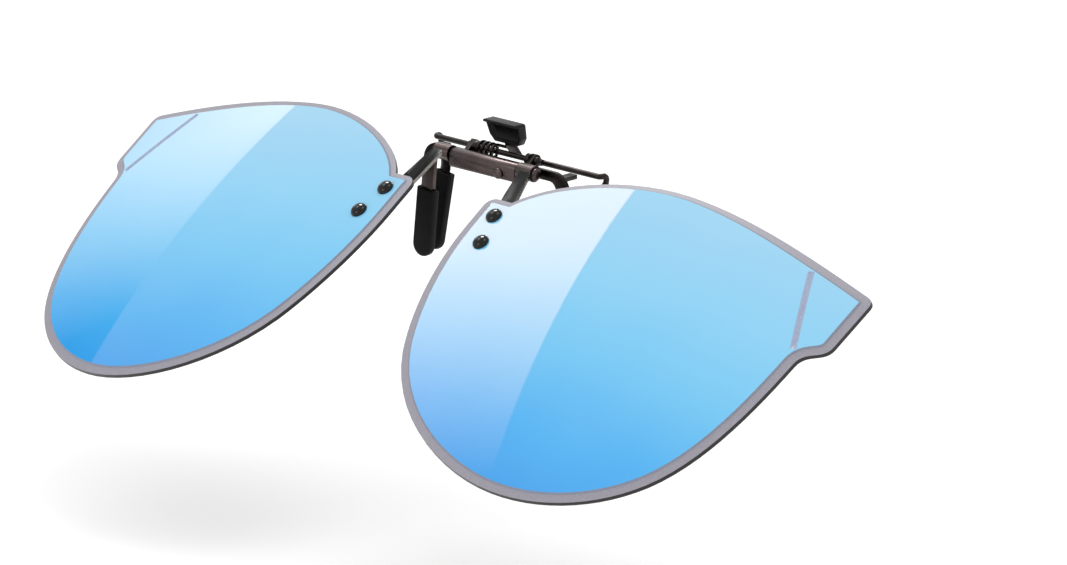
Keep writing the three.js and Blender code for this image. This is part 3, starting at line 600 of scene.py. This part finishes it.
leverShape = {
    "bottom": 13.475, "height": 3.3, "lowWidth": 4.4, "midWidth": 5.8, "topWidth": 6.5, "waist": 1.0,
    "thick": 1.6, "y": 1.1, "lean": 0.28, "corner": 0.42, "back": 0.5,
    "lip": 0.45, "lipReach": 0.5, "rim": 0.26, "bowl": ((0.3, 0.4), (0.45, 0.2)), "edge": 0.09,
    "roundSteps": 4, "edgeSteps": 3, "backCorner": 57, "edgeCorner": 25,
}


def facing(bm, direction, test):
    looksThere = lambda face: face.normal.dot(Vector(direction)) > meshCare["facing"]
    return [face for face in bm.faces if looksThere(face) and test(face.calc_center_median())]


def makeLever():
    s = leverShape
    touch = meshCare["touch"]
    bm = bmesh.new()
    bmesh.ops.create_cube(bm, size=1, matrix=Matrix.Translation((0, 0, 0.5)))
    bmesh.ops.scale(bm, vec=(s["topWidth"], s["thick"], s["height"]), verts=bm.verts)
    sliceFaces(bm, bm.faces, (0, 0, s["waist"]), (0, 0, 1))
    for height, width in ((0, s["lowWidth"]), (s["waist"], s["midWidth"])):
        bmesh.ops.scale(bm, vec=(width / s["topWidth"], 1, 1),
                        verts=[v for v in bm.verts if abs(v.co.z - height) < touch])
    topCorners = [e for e in bm.edges if all(v.co.z > s["height"] - touch for v in e.verts)
                  and abs(e.verts[0].co.x - e.verts[1].co.x) < touch]
    roundEdges(bm, topCorners, s["corner"], s["roundSteps"])
    backEdges = [e for f in facing(bm, (0, 1, 0), lambda c: True) for e in f.edges
                 if e.calc_face_angle() > radians(s["backCorner"])]
    roundEdges(bm, backEdges, s["back"], s["roundSteps"])
    lipLine = s["height"] - s["lip"]
    sliceFaces(bm, facing(bm, (0, -1, 0), lambda c: True), (0, 0, lipLine), (0, 0, 1))
    lip = facing(bm, (0, -1, 0), lambda c: c.z > lipLine)
    made = bmesh.ops.extrude_face_region(bm, geom=lip)["geom"]
    bmesh.ops.delete(bm, geom=lip, context="FACES_ONLY")
    bmesh.ops.translate(bm, vec=(0, -s["lipReach"], 0), verts=[p for p in made if isinstance(p, bmesh.types.BMVert)])
    bm.normal_update()
    hollow = facing(bm, (0, -1, 0), lambda c: c.z < lipLine)
    for width, depth in ((s["rim"], 0), *s["bowl"]):
        bmesh.ops.inset_region(bm, faces=hollow, thickness=width, depth=-depth, use_even_offset=False,
                               use_boundary=True)
        bm.normal_update()
    sharp = [e for e in bm.edges if e.is_convex and e.calc_face_angle() > radians(s["edgeCorner"])]
    roundEdges(bm, sharp, s["edge"], s["edgeSteps"])
    bmesh.ops.remove_doubles(bm, verts=bm.verts, dist=meshCare["speck"])
    for v in bm.verts:
        v.co.y += s["y"] - s["lean"] * v.co.z
    bmesh.ops.translate(bm, vec=(0, 0, s["bottom"]), verts=bm.verts)
    bmesh.ops.recalc_face_normals(bm, faces=bm.faces)
    print("lever open edges:", sum(not e.is_manifold for e in bm.edges))
    return bm


finishPiece("thumbLever", makeLever(), asDrawn, ["lever"], "rear_jaw_body", "thumb_lever")
print("lever made")


# stamped and moulded pieces keep their solids' shapes, with softened edges

stampedLook = {"corner": 35, "edge": 0.1, "segments": 2}
mouldedLook = {"corner": 35, "edge": 0.14, "segments": 3}
whole = Matrix.Identity(4)
softPieces = [
    ("frontBracket", "front_bracket", stampedLook, "bracket", "clip_base", "gunmetal"),
    ("rearJaw", "rear_jaw", {"corner": 45, "edge": 0.1, "segments": 2}, "blackSteel", "rear_jaw_body", "gunmetal"),
    ("detentLeaf", "detent_leaf", {"corner": 35, "edge": 0.04, "segments": 2}, "steel", "clip_base", "steel"),
    ("detentRivet", "detent_rivet", {"corner": 35, "edge": 0.05, "segments": 2}, "gunmetal", "clip_base", "steel"),
    ("frontSleeveLeft", "front_sleeve_left", mouldedLook, "rubber", "clip_base", "rubber"),
    ("frontSleeveRight", "front_sleeve_right", mouldedLook, "rubber", "clip_base", "rubber"),
    ("rearSleeveLeft", "rear_sleeve_left", mouldedLook, "rubber", "rear_jaw_body", "rubber"),
    ("rearSleeveRight", "rear_sleeve_right", mouldedLook, "rubber", "rear_jaw_body", "rubber"),
    ("upperWasherLeft", "washer_upper_left", stampedLook, "nylon", "lens_carrier", "nylon"),
    ("upperWasherRight", "washer_upper_right", stampedLook, "nylon", "lens_carrier", "nylon"),
    ("lowerWasherLeft", "washer_lower_left", stampedLook, "nylon", "lens_carrier", "nylon"),
    ("lowerWasherRight", "washer_lower_right", stampedLook, "nylon", "lens_carrier", "nylon"),
]
for name, node, look, finish, body, slot in softPieces:
    finishPiece(name, softened(node, look), whole, [finish], body, node, crease=look["corner"] - 1)
print("stamped and moulded pieces made:", len(softPieces))


# arms: black strips with bright edges, and eyes in gunmetal

armLook = {"corner": 35, "edge": 0.16, "segments": 3, "eyeEnd": -1.25, "sideLean": 0.45}
armParts = ["enamel", "steel", "gunmetal"]


def makeArm(node):
    bm = softened(node, armLook)
    home, outward = flipUp.inverted(), flipUp.to_3x3().normalized() @ Vector((0, 1, 0))
    for face in bm.faces:
        if (home @ face.calc_center_median()).z > armLook["eyeEnd"]:
            face.material_index = armParts.index("gunmetal")
        elif abs(face.normal.dot(outward)) < armLook["sideLean"]:
            face.material_index = armParts.index("steel")
    return bm


for side in ("Left", "Right"):
    finishPiece("lensArm" + side, makeArm("lens_arm_" + side.lower()), whole, armParts, "lens_carrier",
                "lens_arm_" + side.lower(), crease=armLook["corner"] - 1)
print("arms made")


# studio

studio = {"floor": -0.042, "floorSize": 6.0, "floorTone": (0.95, 0.95, 0.95, 1), "floorShine": 0.2, "floorGlow": 0.15,
          "floorGrain": 30, "floorRough": (0.1, 0.55), "sky": 0.95}

floorMesh = bpy.data.meshes.new("floor")
bm = bmesh.new()
bmesh.ops.create_grid(bm, x_segments=1, y_segments=1, size=studio["floorSize"] / 2,
                      matrix=Matrix.Translation((0, 0, studio["floor"])))
bm.to_mesh(floorMesh)
bm.free()
floor = bpy.data.objects.new("floor", floorMesh)
scene.collection.objects.link(floor)
floorFinish = Finish("paleFloor", {"Base Color": studio["floorTone"], "Specular IOR Level": studio["floorShine"],
                                   "Emission Color": (1, 1, 1, 1), "Emission Strength": studio["floorGlow"]})
spread, least = studio["floorRough"]
floorFinish.feed("Roughness", floorFinish.noise(studio["floorGrain"], 2) * spread + least)
floorMesh.materials.append(floorFinish.material)

world = bpy.data.worlds.new("studioSky")
world.use_nodes = True
sky = world.node_tree.nodes["Background"]
sky.inputs["Color"].default_value = (1, 1, 1, 1)
sky.inputs["Strength"].default_value = studio["sky"]
scene.world = world

lamps = [
    {"name": "overhead", "at": (0.25, 0.1, 1.2), "aim": (0, 0, 0), "size": 0.5, "power": 2.2},
    {"name": "frontFill", "at": (-0.25, -1.0, 0.5), "aim": (0, 0, 0), "size": 0.5, "power": 1.6},
    {"name": "glint", "at": (-0.50, 0.31, 0.81), "aim": (0, 0, 0), "size": 0.28, "power": 6.0,
     "glossOnly": True},  # a highlight on the rivet heads and the metal's edges
]
for lamp in lamps:
    data = bpy.data.lights.new(lamp["name"], "AREA")
    data.size = lamp["size"]
    data.energy = lamp["power"]
    light = bpy.data.objects.new(lamp["name"], data)
    light.location = lamp["at"]
    light.visible_diffuse = not lamp.get("glossOnly")
    light.rotation_euler = (Vector(lamp["aim"]) - Vector(lamp["at"])).to_track_quat("-Z", "Y").to_euler()
    scene.collection.objects.link(light)

# pale cards at the left that the lenses mirror, brighter towards the back and the top
cards = [
    {"name": "upperCard", "edge": ((-0.362, 0.04, 0.601), (-0.300, -0.275, 0.556)), "drop": (-0.126, -0.018, -0.09),
     "glow": 5.2, "near": -0.30, "far": -0.04, "low": 0.0, "high": 0.1},
    {"name": "lowerCard", "edge": ((-0.609, 0.222, 0.399), (-0.648, -0.12, 0.331)), "drop": (-0.09, -0.01, -0.20),
     "glow": 3.0, "near": -0.06, "far": 0.13, "low": 0.14, "high": 0.36},
]
dimmest = {"near": 0.12, "low": 0.1}
for card in cards:
    a, b = (Vector(p) for p in card["edge"])
    drop = Vector(card["drop"])
    bm = bmesh.new()
    bm.faces.new([bm.verts.new(p) for p in (a, b, b + drop, a + drop)])
    mesh = bpy.data.meshes.new(card["name"])
    bm.to_mesh(mesh)
    bm.free()
    glow = Finish(card["name"] + "Glow", {"Base Color": (0, 0, 0, 1), "Roughness": 1, "Specular IOR Level": 0,
                                          "Emission Strength": card["glow"]})
    run = glow.ramp("Y", card["near"], card["far"], dimmest["near"])
    fall = glow.ramp("Z", card["low"], card["high"], dimmest["low"])
    glow.feed("Emission Color", glow.blendColours(run * fall, (0, 0, 0, 1), (1, 1, 1, 1)))
    mesh.materials.append(glow.material)
    panel = bpy.data.objects.new(card["name"], mesh)
    panel.visible_camera = panel.visible_diffuse = panel.visible_shadow = False
    scene.collection.objects.link(panel)

cameraLook = {"turn": 0.77216, "rise": 0.27828, "distance": 0.96285, "right": 0.006067, "up": -0.020439,
              "centre": (0, -0.00298, 0.01547), "focal": 7000, "frame": 1067, "sensor": 36}
turn, rise = cameraLook["turn"], cameraLook["rise"]
back = Vector((sin(turn) * cos(rise), -cos(turn) * cos(rise), sin(rise)))
right = Vector((cos(turn), sin(turn), 0))
up = back.cross(right)
cameraData = bpy.data.cameras.new("camera")
cameraData.sensor_width = cameraLook["sensor"]
cameraData.lens = cameraLook["sensor"] * cameraLook["focal"] / cameraLook["frame"]
camera = bpy.data.objects.new("camera", cameraData)
spot = (Vector(cameraLook["centre"]) + right * cameraLook["right"] + up * cameraLook["up"]
        + back * cameraLook["distance"])
camera.matrix_world = Matrix.Translation(spot) @ Matrix((right, up, back)).transposed().to_4x4()
scene.collection.objects.link(camera)
scene.camera = camera
scene.view_settings.view_transform = "Standard"
print("studio and camera placed")
